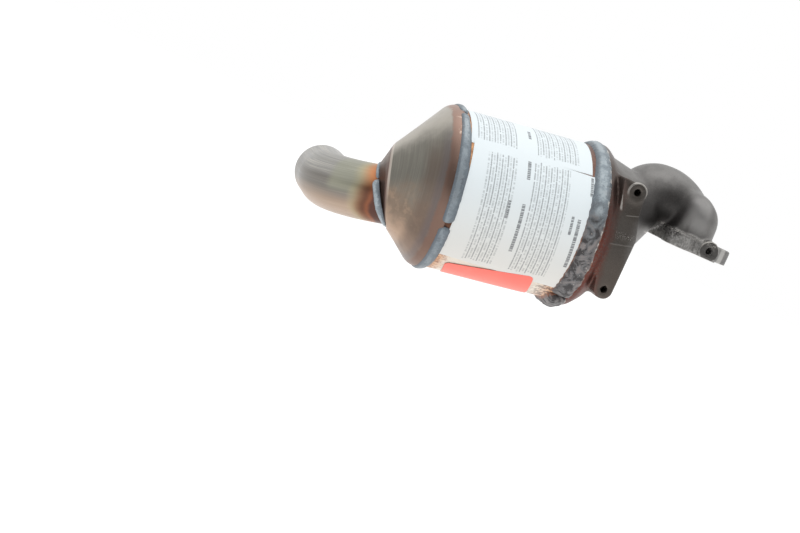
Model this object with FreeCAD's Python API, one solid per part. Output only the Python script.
"""Close-coupled catalytic converter: cast inlet elbow, welded can and outlet pipe.

Millimetres. The origin lies on the inlet flange's mating face, midway between
its two outer studs. +X points away from the can, +Y along the two studs, and
+Z up, off the face that meets the engine. The can hangs nose down from there.
Can coordinates run along the can's axis, with zero at the casting's rim.
"""

import FreeCAD, Part
import math
import os

from FreeCAD import Placement, Rotation, Vector

# The can's radius sets the casting's rim, the cone's mouth and the brick
CAN_R = 76.5

# Fits
SLIP_GAP = 0.15  # between the can and what slides over it
WELD_GAP = 0.05  # between a weld's solid and the metal it runs on
PACK_GAP = 0.05  # between the brick, its mat and the can

# Inlet flange
STUD_SPACING = 112.0  # between the two outer studs
THIRD_STUD_X = 62.5
THIRD_STUD_Y = -10.0
STUD_HOLE_R = 4.5  # clear of an M8 stud
STUD_LUG_R = 13.0
THIRD_LUG_R = 12.0
FLANGE_T = 14.5
FLANGE_MARGIN = 2.0  # how far the flange stands out past the leg
SPOT_FACE_R = 9.2  # room for a flange nut
SPOT_FACE_DEPTH = 0.8
SPOT_CLEAR = 32.0  # height kept free over a spot face for the nut and its socket

# Port: an egg made of a narrow and a wide end joined by straight sides
PORT_NARROW_X = 18.5
PORT_NARROW_Y = -33.0
PORT_NARROW_R = 18.0
PORT_WIDE_X = 19.0
PORT_WIDE_Y = 13.0
PORT_WIDE_R = 27.0

# Elbow and funnel of the casting
CAST_WALL = 4.5
LEG_REACH = 62.5  # from the bend's line to the outside of the leg
LEG_ROUND = 18.0
ELBOW_PIVOT_X = -11.5  # the bend turns about a line along Y, on the mating face
ELBOW_INSIDE = 3.0  # from that line to the inside of the bend
ELBOW_BASE_REACH = 66.0  # from that line to the back of the bend, at the flange
ELBOW_CROWN_REACH = 67.0
ELBOW_THROAT_REACH = 61.0
ELBOW_HALF_W = 38.0
ELBOW_Y = -1.0
THROAT_HALF_W = 44.0
THROAT_Y = -4.0
THROAT_TURN = 128.0  # degrees from the flange to the throat
FUNNEL_R = CAN_R - 5.0  # the funnel is set in from the can

# Casting's rim, in can coordinates
RIM_X = -82.5  # where the rim's centre lies from the flange
RIM_Y = -6.0
RIM_Z = -21.0
CAN_TILT = 8.2  # the can's axis against the mating face
RIM_R = CAN_R + 3.5
RIM_W = 7.0
RIM_SHOULDER = 10.0
SOCKET_DEPTH = 5.0

# Bracket for the heat shield, on the front of the casting
BRACKET_FACE_Y = CAN_R - 5.5  # from the can's axis to the bracket's face
BRACKET_DEPTH = 26.0
BRACKET_LEFT = 12.0
BRACKET_RIGHT = 41.0
BRACKET_TOP = 60.0
BRACKET_CORNER_Z = 5.0  # height of the corner on the bracket's right side
BRACKET_HOLLOW = 4.0  # how far the upper left side leans in
BRACKET_TOP_DROP = 4.0  # how far the top corner lies below the boss
UPPER_BOSS_X = 27.5
UPPER_BOSS_Z = 48.5
LOWER_BOSS_X = 24.5
LOWER_BOSS_Z = -46.0
BOSS_R = 9.5
BOSS_RISE = 1.5
LOWER_RIB_DEPTH = 46.0
M8_TAP_R = 3.4
TAP_DEPTH = 15.0
FLANGE_BOSS_X = 33.5
FLANGE_BOSS_Z = 8.0
FLANGE_BOSS_R = 10.0
FLANGE_BOSS_Y = -61.0

# Can
CAN_WALL = 1.5
CAN_LENGTH = 143.0  # from the casting's rim to the end inside the cone
CAN_SEAM_AT = 200.0
SEAM_W = 3.0
SEAM_RISE = 0.6
MAT_T = 3.1
BRICK_R = CAN_R - CAN_WALL - MAT_T
BRICK_START = 12.0
BRICK_LENGTH = 120.0
BRICK_CELL = 10.0
BRICK_WALL = 2.4
MAT_START = 18.0
MAT_LENGTH = 108.0
SEAL_W = 5.0

# Outlet cone
CONE_WALL = 2.0
CONE_MOUTH = 139.0  # from the casting's rim to the cone's open edge
CONE_SKIRT = 8.0
CONE_ROUND = 10.0
CONE_END_X = 183.0
CONE_END_Z = -11.0
CONE_END_R = 39.8
CONE_END_PITCH = 10.0
NECK_X = 189.5
NECK_Z = -20.5
NECK_PITCH = 20.0
NECK_YAW = 10.0
NECK_EASE = 1.5  # the neck is wider than the pipe, which enters at a slant

# Outlet pipe
PIPE_R = 27.5
PIPE_WALL = 1.6
PIPE_FROM_X = 188.5  # a point of the pipe's centreline
PIPE_FROM_Z = -21.0
PIPE_IN_NECK = 12.0
PIPE_PITCH = 8.0
PIPE_YAW = 25.0  # how far the bend has turned where the pipe leaves the neck
PIPE_BEND_R = 77.0
PIPE_STRAIGHT = 46.0

# Welds
CONE_WELD_SKIRT = 3.8
CONE_WELD_SHELL = 5.0
CONE_WELD_RISE = 1.6
CONE_WELD_CREST = 0.3  # from the cone's edge to the top of the bead
INLET_WELD_W = 9.0
INLET_WELD_LOW_W = 13.0
INLET_WELD_LAP = 4.5  # over the casting's rim
INLET_WELD_RISE = 1.4
INLET_WELD_LOW_RISE = 4.2
NECK_WELD_R = 4.6  # the pass at the front
NECK_WELD_THIN_R = 2.2  # the pass round the back
WELD_STOP = 1.2  # degrees between one pass and the next
CONE_WELD_STOP = 3.0
CONE_WELD_STARTS = (-19.0, 72.0, 166.0, 256.0)
INLET_WELD_STARTS = (-57.0, 95.0, 200.0)
NECK_WELD_STARTS = (-98.0, 38.0)

# Labels: places along the can, and degrees up from the front
PAPER_T = 0.25
LABEL_W = 119.0
LABEL_SPAN = 92.0
UPPER_LABEL_MID = 73.2
UPPER_LABEL_SKEW = 0.0
LOWER_LABEL_MID = 72.3
LOWER_LABEL_AT = -1.8
LOWER_LABEL_SKEW = 2.3
LABEL_OVERLAP = 1.7
UPPER_LABEL_AT = LOWER_LABEL_AT + LABEL_SPAN - LABEL_OVERLAP
RED_MID = 77.0
RED_AT = -65.0
RED_W = 84.0
RED_SPAN = 34.0
RED_SKEW = -9.0
RED_CORNER_R = 5.0

X_AXIS = Vector(1, 0, 0)
Y_AXIS = Vector(0, 1, 0)
Z_AXIS = Vector(0, 0, 1)
ORIGIN = Vector(0, 0, 0)
FULL_TURN = 360.0
OVERSHOOT = 1.0  # how far a cutting body runs past the face that it cuts
NEAR = 0.01  # how close an edge lies to the place where it is looked for


# ---------------------------------------------------------------- helpers


def can_placement():
    """Carries can coordinates, axis along X, to the flange's frame."""
    return Placement(Vector(RIM_X, RIM_Y, RIM_Z), Rotation(Y_AXIS, -CAN_TILT))


def on_can(shape):
    """Place a shape built in can coordinates."""
    placed = shape.copy()
    placed.transformShape(can_placement().toMatrix())
    return placed


def ring(inner_r, outer_r, start, length):
    """A tube about the can's axis that runs away from the casting."""
    outer = Part.makeCylinder(outer_r, length, Vector(-start - length, 0, 0), X_AXIS)
    longer = length + 2 * OVERSHOOT
    bore = Part.makeCylinder(inner_r, longer, Vector(-start - length - OVERSHOOT, 0, 0), X_AXIS)
    return outer.cut(bore)


def turned(points):
    """Revolve an outline of (along, radius) points once round the can's axis."""
    outline = [Vector(x, 0, r) for x, r in points]
    face = Part.Face(Part.makePolygon(outline + outline[:1]))
    return face.revolve(ORIGIN, X_AXIS, FULL_TURN)


def swept_round(face, low, high):
    """Revolve a face in the XZ plane from low to high degrees.

    Zero degrees faces front, and 90 is the top of the can.
    """
    placed = face.copy()
    placed.rotate(ORIGIN, X_AXIS, 90 - high)
    return placed.revolve(ORIGIN, X_AXIS, high - low)


def oval(centre, normal, half_w, half_h):
    """A closed ellipse whose wide way runs along Y."""
    up = normal.cross(Y_AXIS)
    across = up.cross(normal)
    if half_w > half_h:
        curve = Part.Ellipse(ORIGIN, half_w, half_h)
    else:
        curve = Part.Circle(ORIGIN, Z_AXIS, half_w)
    wire = Part.Wire(curve.toShape())
    wire.Placement = Placement(centre, Rotation(across, up, normal, "ZXY"))
    return wire


def direction(pitch, yaw):
    """A way out of the can, pitched down and turned towards +Y."""
    p = math.radians(pitch)
    y = math.radians(yaw)
    return Vector(-math.cos(p) * math.cos(y), math.sin(y), -math.sin(p) * math.cos(y))


def two_circle_outline(x1, y1, r1, x2, y2, r2):
    """The belt line round two circles."""
    along = Vector(x2 - x1, y2 - y1, 0)
    lean = math.asin((r1 - r2) / along.Length)
    heading = math.atan2(along.y, along.x)
    sides = []
    for turn in (math.pi / 2 - lean, lean - math.pi / 2):
        away = Vector(math.cos(heading + turn), math.sin(heading + turn), 0)
        sides.append((Vector(x1, y1, 0) + away * r1, Vector(x2, y2, 0) + away * r2))
    ahead = along.normalize()
    near_tip = Vector(x1, y1, 0) - ahead * r1
    far_tip = Vector(x2, y2, 0) + ahead * r2
    edges = [
        Part.Arc(sides[1][0], near_tip, sides[0][0]).toShape(),
        Part.makeLine(sides[0][0], sides[0][1]),
        Part.Arc(sides[0][1], far_tip, sides[1][1]).toShape(),
        Part.makeLine(sides[1][1], sides[1][0]),
    ]
    return Part.Wire(edges)


def belt(x1, y1, r1, x2, y2, r2, height):
    """A flat body round two circles, standing on the mating face."""
    outline = two_circle_outline(x1, y1, r1, x2, y2, r2)
    return Part.Face(outline).extrude(Z_AXIS * height)


def egg(wall, height):
    """The port's egg grown by a wall, standing on the mating face."""
    return belt(
        PORT_NARROW_X, PORT_NARROW_Y, PORT_NARROW_R + wall, PORT_WIDE_X, PORT_WIDE_Y, PORT_WIDE_R + wall, height
    )


def is_upright(edge):
    """Whether an edge is a straight line along Z."""
    box = edge.BoundBox
    return box.XLength < NEAR and box.YLength < NEAR


def edges_near(shape, point):
    """Edges that pass through a point."""
    probe = Part.Vertex(point)
    return [e for e in shape.Edges if e.distToShape(probe)[0] < NEAR]


# ------------------------------------------------------------ inlet casting


def elbow_section(turn, reach, half_w, middle_y, wall):
    """One section of the bend, on the plane turned up from the flange."""
    t = math.radians(turn)
    out = Vector(math.cos(t), 0, math.sin(t))
    normal = Vector(-math.sin(t), 0, math.cos(t))
    half_h = (reach - ELBOW_INSIDE) / 2
    centre = Vector(ELBOW_PIVOT_X, middle_y, 0) + out * (ELBOW_INSIDE + half_h)
    return oval(centre, normal, half_w - wall, half_h - wall)


def throat(wall):
    return elbow_section(THROAT_TURN, ELBOW_THROAT_REACH, THROAT_HALF_W, THROAT_Y, wall)


def elbow(wall):
    """The bend from the flange up and over to the throat."""
    quarter = THROAT_TURN / 4
    reaches = (ELBOW_BASE_REACH, ELBOW_BASE_REACH, ELBOW_CROWN_REACH, ELBOW_CROWN_REACH)
    sections = [
        elbow_section(i * quarter, reach, ELBOW_HALF_W, ELBOW_Y, wall) for i, reach in enumerate(reaches)
    ]
    return Part.makeLoft(sections + [throat(wall)], True, False)


def leg(wall):
    """The egg-shaped leg over the port, which follows the outside of the bend."""
    reach = LEG_REACH - CAST_WALL + wall
    width = 2 * STUD_SPACING
    bend = Part.makeCylinder(reach, width, Vector(ELBOW_PIVOT_X, -width / 2, 0), Y_AXIS)
    body = egg(wall, 2 * LEG_REACH).common(bend)
    crown = [e for e in body.Edges if e.BoundBox.ZMin > NEAR and not is_upright(e)]
    return body.makeFillet(LEG_ROUND - CAST_WALL + wall, crown)


def funnel(wall):
    """Oblique funnel from the rim to the throat."""
    start = RIM_W + RIM_SHOULDER
    mouth = oval(Vector(start, 0, 0), X_AXIS, FUNNEL_R - wall, FUNNEL_R - wall)
    mouth = on_can(mouth)
    return Part.makeLoft([mouth, throat(wall)], True, True)


def rim():
    """The thick lip that the can plugs into, with its shoulder."""
    shoulder_end = RIM_W + RIM_SHOULDER
    return on_can(turned([(0, 0), (0, RIM_R), (RIM_W, RIM_R), (shoulder_end, FUNNEL_R), (shoulder_end, 0)]))


def flange_plate():
    """Flange with three stud lugs round the port."""
    half = STUD_SPACING / 2
    plate = egg(CAST_WALL + FLANGE_MARGIN, FLANGE_T)
    plate = plate.fuse(belt(0, -half, STUD_LUG_R, THIRD_STUD_X, THIRD_STUD_Y, THIRD_LUG_R, FLANGE_T))
    plate = plate.fuse(belt(0, -half, STUD_LUG_R, PORT_NARROW_X, PORT_NARROW_Y, PORT_NARROW_R, FLANGE_T))
    plate = plate.fuse(belt(0, half, STUD_LUG_R, PORT_WIDE_X, PORT_WIDE_Y, PORT_WIDE_R, FLANGE_T))
    plate = plate.fuse(
        belt(THIRD_STUD_X, THIRD_STUD_Y, THIRD_LUG_R, PORT_WIDE_X, PORT_WIDE_Y, PORT_WIDE_R, FLANGE_T)
    )
    return plate.removeSplitter()


def flange_boss():
    """Arch-shaped boss on the flange's front edge."""
    depth = PORT_WIDE_Y - FLANGE_BOSS_Y
    front = Vector(FLANGE_BOSS_X, FLANGE_BOSS_Y, FLANGE_BOSS_Z)
    arch = Part.makeCylinder(FLANGE_BOSS_R, depth, front, Y_AXIS)
    foot_corner = Vector(FLANGE_BOSS_X - FLANGE_BOSS_R, FLANGE_BOSS_Y, 0)
    foot = Part.makeBox(2 * FLANGE_BOSS_R, depth, FLANGE_BOSS_Z, foot_corner)
    wider = 2 * FLANGE_BOSS_R + 2 * OVERSHOOT
    below_corner = foot_corner - Vector(OVERSHOOT, OVERSHOOT, FLANGE_BOSS_R)
    below = Part.makeBox(wider, depth + 2 * OVERSHOOT, FLANGE_BOSS_R, below_corner)
    return arch.fuse(foot).cut(below)


def bracket_outline():
    """Front outline of the bracket, in can coordinates."""
    top_right = (UPPER_BOSS_X + BOSS_R, UPPER_BOSS_Z + BOSS_R - BRACKET_TOP_DROP)
    waist = (UPPER_BOSS_X + BOSS_R, (UPPER_BOSS_Z + BRACKET_CORNER_Z) / 2)
    points = [
        (BRACKET_LEFT, BRACKET_TOP),
        top_right,
        waist,
        (BRACKET_RIGHT, BRACKET_CORNER_Z),
        (LOWER_BOSS_X + BOSS_R, LOWER_BOSS_Z),
        (LOWER_BOSS_X - BOSS_R, LOWER_BOSS_Z),
        (BRACKET_LEFT, LOWER_BOSS_Z / 2),
        (BRACKET_LEFT, BRACKET_CORNER_Z),
        (BRACKET_LEFT + BRACKET_HOLLOW, waist[1]),
    ]
    outline = [Vector(x, -BRACKET_FACE_Y, z) for x, z in points]
    return Part.makePolygon(outline + outline[:1])


def bracket():
    """Bracket, its raised upper boss and the rib behind its lower boss."""
    plate = Part.Face(bracket_outline()).extrude(Y_AXIS * BRACKET_DEPTH)
    high = Vector(UPPER_BOSS_X, -BRACKET_FACE_Y - BOSS_RISE, UPPER_BOSS_Z)
    low = Vector(LOWER_BOSS_X, -BRACKET_FACE_Y, LOWER_BOSS_Z)
    plate = plate.fuse(Part.makeCylinder(BOSS_R, BRACKET_DEPTH, high, Y_AXIS))
    plate = plate.fuse(Part.makeCylinder(BOSS_R, LOWER_RIB_DEPTH, low, Y_AXIS))
    return on_can(plate)


def tapped_holes():
    """Three M8 core holes that face front, for the heat shield."""
    face = -BRACKET_FACE_Y - BOSS_RISE - OVERSHOOT
    depth = TAP_DEPTH + BOSS_RISE + OVERSHOOT
    places = ((UPPER_BOSS_X, UPPER_BOSS_Z), (LOWER_BOSS_X, LOWER_BOSS_Z))
    holes = [on_can(Part.makeCylinder(M8_TAP_R, depth, Vector(x, face, z), Y_AXIS)) for x, z in places]
    start = Vector(FLANGE_BOSS_X, FLANGE_BOSS_Y - OVERSHOOT, FLANGE_BOSS_Z)
    holes.append(Part.makeCylinder(M8_TAP_R, TAP_DEPTH + OVERSHOOT, start, Y_AXIS))
    return holes


def stud_holes():
    """Through holes for the three studs, each with its spot face."""
    half = STUD_SPACING / 2
    cuts = []
    for x, y in ((0, -half), (0, half), (THIRD_STUD_X, THIRD_STUD_Y)):
        length = FLANGE_T + 2 * OVERSHOOT
        cuts.append(Part.makeCylinder(STUD_HOLE_R, length, Vector(x, y, -OVERSHOOT)))
        seat = FLANGE_T - SPOT_FACE_DEPTH
        cuts.append(Part.makeCylinder(SPOT_FACE_R, SPOT_CLEAR, Vector(x, y, seat)))
    return cuts


def inlet_casting():
    solid = flange_plate().fuse([leg(CAST_WALL), elbow(0), funnel(0), rim(), bracket(), flange_boss()])
    socket = Part.makeCylinder(CAN_R + SLIP_GAP, SOCKET_DEPTH + OVERSHOOT, Vector(-OVERSHOOT, 0, 0), X_AXIS)
    mouth_length = RIM_W + RIM_SHOULDER + OVERSHOOT
    mouth = Part.makeCylinder(FUNNEL_R - CAST_WALL, mouth_length, Vector(-OVERSHOOT, 0, 0), X_AXIS)
    port = egg(0, FLANGE_T)
    port.translate(Vector(0, 0, -OVERSHOOT))
    hollow = leg(0).fuse([elbow(CAST_WALL), funnel(CAST_WALL), on_can(socket), on_can(mouth), port])
    solid = solid.cut(hollow)
    solid = solid.cut(stud_holes() + tapped_holes())
    return solid.removeSplitter()


# ----------------------------------------------------------- can and filling


def can_shell():
    shell = ring(CAN_R - CAN_WALL, CAN_R, -SOCKET_DEPTH + 2 * SLIP_GAP, CAN_LENGTH + SOCKET_DEPTH)
    return on_can(shell)


def seam_weld():
    """Laser seam along the back of the rolled can."""
    start = CONE_MOUTH - CONE_WELD_SHELL - 2 * WELD_GAP
    length = start - INLET_WELD_LOW_W - 2 * WELD_GAP
    low = CAN_R + WELD_GAP
    crown = Part.Arc(
        Vector(-start, -SEAM_W / 2, low), Vector(-start, 0, low + SEAM_RISE), Vector(-start, SEAM_W / 2, low)
    ).toShape()
    base = Part.makeLine(Vector(-start, SEAM_W / 2, low), Vector(-start, -SEAM_W / 2, low))
    bead = Part.Face(Part.Wire([crown, base])).extrude(X_AXIS * length)
    bead.rotate(ORIGIN, X_AXIS, 90 - CAN_SEAM_AT)
    return on_can(bead)


def brick():
    """Ceramic monolith, with its square flow channels drawn large."""
    body = Part.makeCylinder(BRICK_R, BRICK_LENGTH, Vector(-BRICK_START - BRICK_LENGTH, 0, 0), X_AXIS)
    count = int(BRICK_R / BRICK_CELL) + 1
    open_w = BRICK_CELL - BRICK_WALL
    reach = BRICK_R - BRICK_WALL
    channels = []
    for row in range(-count, count + 1):
        for column in range(-count, count + 1):
            y = row * BRICK_CELL
            z = column * BRICK_CELL
            if math.hypot(abs(y) + open_w / 2, abs(z) + open_w / 2) < reach:
                corner = Vector(-BRICK_START - BRICK_LENGTH - OVERSHOOT, y - open_w / 2, z - open_w / 2)
                channels.append(Part.makeBox(BRICK_LENGTH + 2 * OVERSHOOT, open_w, open_w, corner))
    return on_can(body.cut(Part.makeCompound(channels)))


def mat():
    return on_can(ring(BRICK_R + PACK_GAP, CAN_R - CAN_WALL - PACK_GAP, MAT_START, MAT_LENGTH))


def mat_seal(start):
    return on_can(ring(BRICK_R + PACK_GAP, CAN_R - CAN_WALL - PACK_GAP, start, SEAL_W))


# ------------------------------------------------------ outlet cone and pipe


def cone_body(wall):
    """The drawn cone: skirt, rounded shoulder, slope and turned-in end."""
    skirt_r = CAN_R + SLIP_GAP + CONE_WALL - wall
    skirt_end = CONE_MOUTH + CONE_SKIRT
    skirt = Part.makeCylinder(skirt_r, CONE_SKIRT, Vector(-skirt_end, 0, 0), X_AXIS)
    big = oval(Vector(-skirt_end, 0, 0), -X_AXIS, skirt_r, skirt_r)
    end_way = direction(CONE_END_PITCH, 0)
    small = oval(Vector(-CONE_END_X, 0, CONE_END_Z), end_way, CONE_END_R - wall, CONE_END_R - wall)
    neck_r = PIPE_R + NECK_EASE + CONE_WALL - wall
    neck_way = direction(NECK_PITCH, NECK_YAW)
    neck = oval(Vector(-NECK_X, 0, NECK_Z), neck_way, neck_r, neck_r)
    slope = Part.makeLoft([big, small], True, True)
    collar = Part.makeLoft([small, neck], True, True)
    body = skirt.fuse([slope, collar]).removeSplitter()
    return body.makeFillet(CONE_ROUND - wall, edges_near(body, big.Edges[0].valueAt(1)))


def outlet_cone():
    inner = cone_body(CONE_WALL)
    opening = CAN_R + SLIP_GAP
    mouth = Part.makeCylinder(opening, OVERSHOOT + CONE_WALL, Vector(-CONE_MOUTH - CONE_WALL, 0, 0), X_AXIS)
    way = direction(NECK_PITCH, NECK_YAW)
    back = Vector(-NECK_X, 0, NECK_Z) - way * CONE_WALL
    neck = Part.makeCylinder(PIPE_R + NECK_EASE, OVERSHOOT + CONE_WALL, back, way)
    return on_can(cone_body(0).cut([inner, mouth, neck, pipe_solid(PIPE_R + SLIP_GAP)]))


def pipe_path():
    """Centreline of the pipe: an arc out of the neck, then straight along Y."""
    level = direction(PIPE_PITCH, 0)
    start_turn = math.radians(PIPE_YAW)
    base = Vector(-PIPE_FROM_X, 0, PIPE_FROM_Z)

    def heading(turn):
        return level * math.cos(turn) + Y_AXIS * math.sin(turn)

    def on_arc(turn):
        centre = base - level * (PIPE_BEND_R * math.sin(start_turn)) + Y_AXIS * (PIPE_BEND_R * math.cos(start_turn))
        return centre + level * (PIPE_BEND_R * math.sin(turn)) - Y_AXIS * (PIPE_BEND_R * math.cos(turn))

    begin = start_turn - PIPE_IN_NECK / PIPE_BEND_R
    quarter = math.pi / 2
    arc = Part.Arc(on_arc(begin), on_arc((begin + quarter) / 2), on_arc(quarter)).toShape()
    end = on_arc(quarter) + Y_AXIS * PIPE_STRAIGHT
    return Part.Wire([arc, Part.makeLine(on_arc(quarter), end)]), on_arc(begin), heading(begin)


def pipe_solid(radius):
    path, start, way = pipe_path()
    section = Part.Wire(Part.Circle(start, way, radius).toShape())
    return path.makePipeShell([section], True, False)


def outlet_pipe():
    return on_can(pipe_solid(PIPE_R).cut(pipe_solid(PIPE_R - PIPE_WALL)))


# -------------------------------------------------------------------- welds


def crown_face(points, crest):
    """A weld's section: straight feet along points, and an arc over the top."""
    feet = [Vector(x, 0, r) for x, r in points]
    edges = [Part.makeLine(a, b) for a, b in zip(feet, feet[1:])]
    edges.append(Part.Arc(feet[-1], Vector(crest[0], 0, crest[1]), feet[0]).toShape())
    return Part.Face(Part.Wire(edges))


def cone_weld(low, high):
    """One pass of the fillet weld between the cone's edge and the can."""
    edge = -CONE_MOUTH
    on_shell = CAN_R + WELD_GAP
    on_skirt = CAN_R + SLIP_GAP + CONE_WALL + WELD_GAP
    feet = [
        (edge - CONE_WELD_SKIRT, on_skirt),
        (edge + WELD_GAP, on_skirt),
        (edge + WELD_GAP, on_shell),
        (edge + CONE_WELD_SHELL, on_shell),
    ]
    face = crown_face(feet, (edge + CONE_WELD_CREST, on_skirt + CONE_WELD_RISE))
    return on_can(swept_round(face, low, high))


def inlet_weld(low, high, width, rise):
    """One pass of the heavy fillet weld between the casting's rim and the can."""
    on_shell = CAN_R + WELD_GAP
    on_rim = RIM_R + WELD_GAP
    feet = [(-width, on_shell), (-WELD_GAP, on_shell), (-WELD_GAP, on_rim), (INLET_WELD_LAP, on_rim)]
    crest = ((INLET_WELD_LAP - width) / 2, on_rim + rise)
    return on_can(swept_round(crown_face(feet, crest), low, high))


def neck_weld(low, high, radius):
    """One pass of the weld round the pipe, where it enters the cone's neck."""
    way = direction(NECK_PITCH, NECK_YAW)
    neck = Vector(-NECK_X, 0, NECK_Z)
    ring_r = PIPE_R + NECK_EASE
    bead = Part.makeTorus(ring_r, radius, ORIGIN, Z_AXIS, 0, FULL_TURN, high - low)
    bead.rotate(ORIGIN, Z_AXIS, low)
    front = Vector(-way.y, way.x, 0).normalize()
    ring_place = Placement(neck + way * radius / 2, Rotation(front, way.cross(front), way, "ZXY"))
    bead.Placement = ring_place.multiply(bead.Placement)
    cone = cone_body(-WELD_GAP)
    cone.translate(way * WELD_GAP)
    bead = bead.cut([pipe_solid(PIPE_R + WELD_GAP), cone])
    return on_can(bead)


# ------------------------------------------------------------------- labels


def paper(middle, at, width, span, skew, corner_r, lift):
    """A paper label wrapped round the can, turned a little by its skew."""
    inner_r = CAN_R + WELD_GAP + lift
    half_h = CAN_R * math.sin(math.radians(span / 2))
    outline = Part.makeBox(width, CAN_R, 2 * half_h, Vector(-width / 2, -CAN_R - CAN_R / 2, -half_h))
    if corner_r:
        corners = [e for e in outline.Edges if abs(e.Length - CAN_R) < NEAR]
        outline = outline.makeFillet(corner_r, corners)
    outline.rotate(ORIGIN, Y_AXIS, skew)
    outline.translate(Vector(-middle, 0, 0))
    reach = width
    sheet = ring(inner_r, inner_r + PAPER_T, middle - reach, 2 * reach).common(outline)
    sheet.rotate(ORIGIN, X_AXIS, -at)
    return on_can(sheet)


# -------------------------------------------------------------------- build


def passes(starts, stop):
    """Pairs of angles for weld passes, each with a stop between it and the next."""
    ends = starts[1:] + (starts[0] + FULL_TURN,)
    return [(low + stop / 2, high - stop / 2) for low, high in zip(starts, ends)]


def build():
    nodes = {
        "inlet_casting": inlet_casting(),
        "can_shell": can_shell(),
        "can_seam_weld": seam_weld(),
        "catalyst_brick": brick(),
        "support_mat": mat(),
        "mat_seal_inlet": mat_seal(MAT_START - SEAL_W - PACK_GAP),
        "mat_seal_outlet": mat_seal(MAT_START + MAT_LENGTH + PACK_GAP),
        "outlet_cone": outlet_cone(),
        "outlet_pipe": outlet_pipe(),
        "upper_label": paper(
            UPPER_LABEL_MID, UPPER_LABEL_AT, LABEL_W, LABEL_SPAN, UPPER_LABEL_SKEW, 0, 0
        ),
        "lower_label": paper(
            LOWER_LABEL_MID, LOWER_LABEL_AT, LABEL_W, LABEL_SPAN, LOWER_LABEL_SKEW, 0, PAPER_T + PACK_GAP
        ),
        "red_label": paper(
            RED_MID, RED_AT, RED_W, RED_SPAN, RED_SKEW, RED_CORNER_R, 2 * (PAPER_T + PACK_GAP)
        ),
    }
    for i, (low, high) in enumerate(passes(CONE_WELD_STARTS, CONE_WELD_STOP)):
        nodes[f"cone_weld_{i + 1}"] = cone_weld(low, high)
    inlet_passes = passes(INLET_WELD_STARTS, WELD_STOP)
    for i, (low, high) in enumerate(inlet_passes):
        heavy = i == len(inlet_passes) - 1
        width = INLET_WELD_LOW_W if heavy else INLET_WELD_W
        rise = INLET_WELD_LOW_RISE if heavy else INLET_WELD_RISE
        nodes[f"inlet_weld_{i + 1}"] = inlet_weld(low, high, width, rise)
    for i, (low, high) in enumerate(passes(NECK_WELD_STARTS, WELD_STOP)):
        nodes[f"neck_weld_{i + 1}"] = neck_weld(low, high, NECK_WELD_THIN_R if i else NECK_WELD_R)
    return nodes


os.makedirs("parts", exist_ok=True)
for name, shape in build().items():
    shape.exportStep(f"parts/{name}.step")
    solids = len(shape.Solids)
    print(name, "valid" if shape.isValid() else "NOT VALID", solids, "solids", round(shape.Volume / 1000, 2), "cm3")
